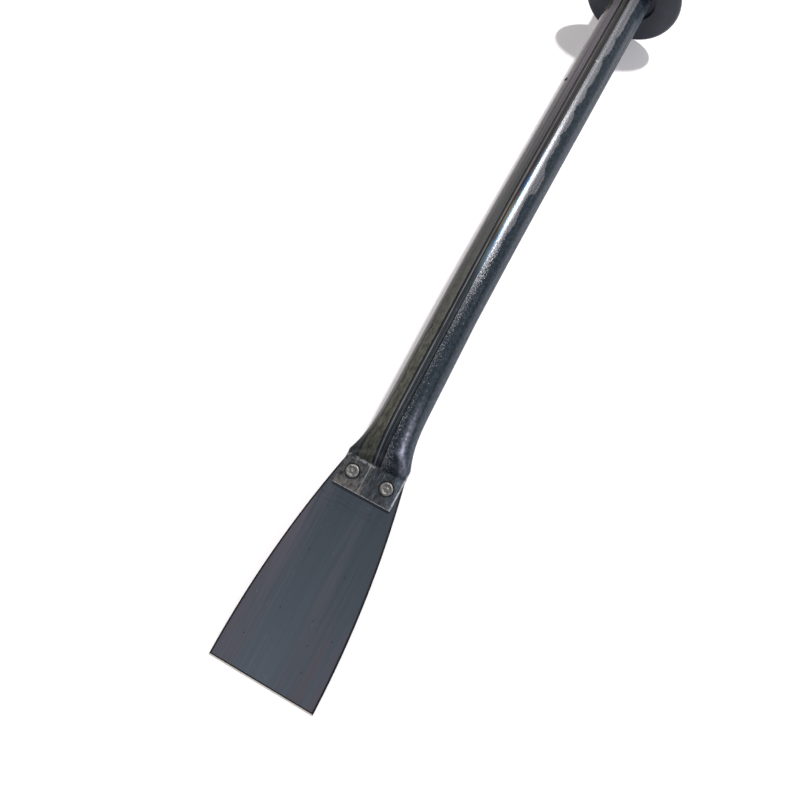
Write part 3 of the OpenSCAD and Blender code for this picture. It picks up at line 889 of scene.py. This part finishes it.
# Radius and distance from the face of the guard: recess, guard, fillet, barrel, end and vent
arc = [radians(15*i) for i in range(7)]
root_r = barrel(guard_t) + guard_fillet
fillet_end = guard_t + guard_fillet
end_at = grip_len - end_r
core_r = barrel(end_at) - end_r
grip_profile = [(tube_r, recess_depth), (recess_r - 0.3*mm, recess_depth),
                (recess_r, recess_depth - 0.3*mm), (recess_r, 0.5*mm),
                (recess_r + 0.15*mm, 0.15*mm), (recess_r + 0.5*mm, 0)]
grip_profile += [(guard_r - rim_r + rim_r*sin(a), rim_r - rim_r*cos(a)) for a in arc]
grip_profile += [(guard_r - rim_r + rim_r*cos(a), rim_r + rim_r*sin(a)) for a in arc[1:]]
grip_profile += [(root_r - guard_fillet*sin(a), fillet_end - guard_fillet*cos(a)) for a in arc]
grip_profile += [(barrel(x), x) for x in (
    fillet_end + (end_at - fillet_end)*i/barrel_steps for i in range(1, barrel_steps + 1))]
grip_profile += [(core_r + end_r*cos(a), end_at + end_r*sin(a)) for a in arc[1:]]
grip_profile += [(vent_r + vent_break, grip_len), (vent_r, grip_len - vent_break),
                 (vent_r, grip_depth)]

# The upper leg of the tool: from the face of the guard, with +X out along the tube
shaft_out = Vector(mounts["shaft"]["axis"])
shaft_up = shaft_out.cross((0, 1, 0))
upper_leg = Matrix((shaft_out, (0, 1, 0), shaft_up)).transposed().to_4x4()
upper_leg.translation = Vector(mounts["shaft"]["pos_m"]) + shaft_out*shaft_len/2
grip = turn("moulded_rubber_grip", grip_profile, 96, Vector((1, 0, 0)))
settle(grip, upper_leg)
bpy.ops.object.shade_smooth_by_angle(angle=radians(35))

# Moulded black rubber: nearly black, matt, with the 0.7 mm grain of the mould and clouds of dust
# about 12 mm wide, and rubbed greyer along its edges by the hand
rubber, tree, shader = new_finish("moulded_black_rubber")
place = add(tree, "TexCoord", {})["Object"]
mould = add(tree, "TexNoise", {"Scale": 1/(0.7*mm), "Detail": 3, "Vector": place})[0]
dust = add(tree, "TexNoise", {"Scale": 1/(12*mm), "Detail": 4, "Vector": place})[0]
handled = add(tree, "MapRange", {
    "Value": add(tree, "NewGeometry", {})["Pointiness"], "From Min": 0.51, "From Max": 0.58})[0]
dusty = add(tree, "MapRange", {
    "Value": dust, "From Min": 0.4, "From Max": 0.65, "To Max": 0.6})[0]
handled = add(tree, "Math", {"operation": "MULTIPLY", 0: handled, 1: dusty})[0]
black = linear("#1c2027")
for mask, colour in ((dust, "#363b48"), (handled, "#565a63")):
    black = add(tree, "Mix", {"data_type": "RGBA", 0: mask, 6: black, 7: linear(colour)})[2]
matt = add(tree, "MapRange", {"Value": dust, "To Min": 0.42, "To Max": 0.62})[0]
relief = add(tree, "Bump", {"Strength": 0.2, "Distance": 0.2*mm, "Height": mould})[0]
for socket, value in (("Base Color", black), ("Roughness", matt), ("Normal", relief)):
    tree.links.new(value, shader.inputs[socket])
grip.data.materials.append(rubber)

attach(grip, "root")
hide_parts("grip")


# TABLE
# A plain white table top. It shows white to the camera and in the metal, and keeps the shadows.

table_w = 8
table_lift = 0.2
bpy.ops.object.select_all(action="DESELECT")
bpy.ops.mesh.primitive_plane_add(size=table_w)
table = bpy.context.object
table.name = "white_table"
table_top, tree, shader = new_finish("white_table_top")
tree.nodes.remove(shader)
path = add(tree, "LightPath", {})
seen = path["Is Camera Ray"]
for ray in ("Is Glossy Ray", "Is Transmission Ray"):
    seen = add(tree, "Math", {"operation": "MAXIMUM", 0: seen, 1: path[ray]})[0]
lifted = add(tree, "Math", {"operation": "MULTIPLY", 0: seen, 1: table_lift})[0]
white = add(tree, "BsdfDiffuse", {"Color": linear("#f4f0f1")})[0]
glow = add(tree, "Emission", {"Strength": lifted})[0]
surface = add(tree, "AddShader", {0: white, 1: glow})[0]
tree.links.new(surface, tree.nodes["Material Output"].inputs["Surface"])
table.data.materials.append(table_top)


# LIGHT
# A soft lamp stands beyond the grip, a little to the right, and a plain grey room fills the rest.
# A long low window stands to the right, and shines along the shoulder of the flare.

lamp_zenith = radians(32.5)
lamp_side = radians(-19)
lamp_far = 2.2
lamp_aim = Vector((10, 0, 50))*mm
lamp_w = 0.11
lamp_power = 41
window_side = radians(-112)
window_far = 1.2
window_high = 0.89
window_shift = 0.69
window_aim = Vector((-150, 0, 25))*mm
window_w = 2.77
window_h = 0.22
window_power = 8

# The room is brighter beyond the grip, and its walls are darker low down, which draws a dark line
# along the tube
bright_wall = (0.8, 0.5, 0)
world = bpy.context.scene.world or bpy.data.worlds.new("plain_room")
bpy.context.scene.world = world
world.use_nodes = True
tree = world.node_tree
way = add(tree, "TexCoord", {})["Generated"]
brighter = add(tree, "VectorMath", {"operation": "DOT_PRODUCT", 0: way, 1: bright_wall})["Value"]
brighter = add(tree, "MapRange", {"Value": brighter, "From Min": -0.8, "From Max": 0.6})[0]
room = add(tree, "Mix", {
    "data_type": "RGBA", 0: brighter, 6: linear("#4a5460"), 7: linear("#cdc8c7")})[2]
up = add(tree, "SeparateXYZ", {0: way})["Z"]
low_wall = add(tree, "MapRange", {"Value": up, "From Max": 0.22, "To Min": 0.4})[0]
room = add(tree, "Mix", {
    "data_type": "RGBA", "blend_type": "MULTIPLY", 0: 1, 6: room, 7: low_wall})[2]
tree.links.new(room, tree.nodes["Background"].inputs["Color"])

toward_lamp = Vector((sin(lamp_zenith)*cos(lamp_side), sin(lamp_zenith)*sin(lamp_side),
                      cos(lamp_zenith)))
lamp_data = bpy.data.lights.new("soft_lamp", "AREA")
lamp_data.shape = "DISK"
lamp_data.size = lamp_w
lamp_data.energy = lamp_power
lamp = bpy.data.objects.new("soft_lamp", lamp_data)
lamp.location = lamp_aim + toward_lamp*lamp_far
lamp.rotation_euler = toward_lamp.to_track_quat("Z", "Y").to_euler()
bpy.context.scene.collection.objects.link(lamp)

outward = Vector((cos(window_side), sin(window_side), 0))
sideways = Vector((-sin(window_side), cos(window_side), 0))
toward_window = outward*window_far + Vector((0, 0, window_high))
window_data = bpy.data.lights.new("long_window", "AREA")
window_data.shape = "RECTANGLE"
window_data.size = window_w
window_data.size_y = window_h
window_data.energy = window_power
window_data.color = linear("#eff1ff")[:3]
window = bpy.data.objects.new("long_window", window_data)
facing = toward_window.normalized()
window.matrix_world = Matrix((sideways, facing.cross(sideways), facing)).transposed().to_4x4()
window.location = window_aim + toward_window - sideways*window_shift
bpy.context.scene.collection.objects.link(window)


# CAMERA
# It stands above the blade and looks along the tool, which runs out of the top of the picture.

sensor_mm = 36
focal_px = 731
picture_px = 800
camera_data = bpy.data.cameras.new("camera")
camera_data.sensor_width = sensor_mm
camera_data.lens = sensor_mm*focal_px/picture_px
camera_data.clip_start = 10*mm
camera = bpy.data.objects.new("camera", camera_data)
camera.location = Vector((-220.764, -56.570, 434.015))*mm
camera.rotation_euler = [radians(angle) for angle in (15.1232, 1.5298, -61.5197)]
bpy.context.scene.collection.objects.link(camera)
bpy.context.scene.camera = camera
bpy.context.scene.view_settings.view_transform = "Standard"
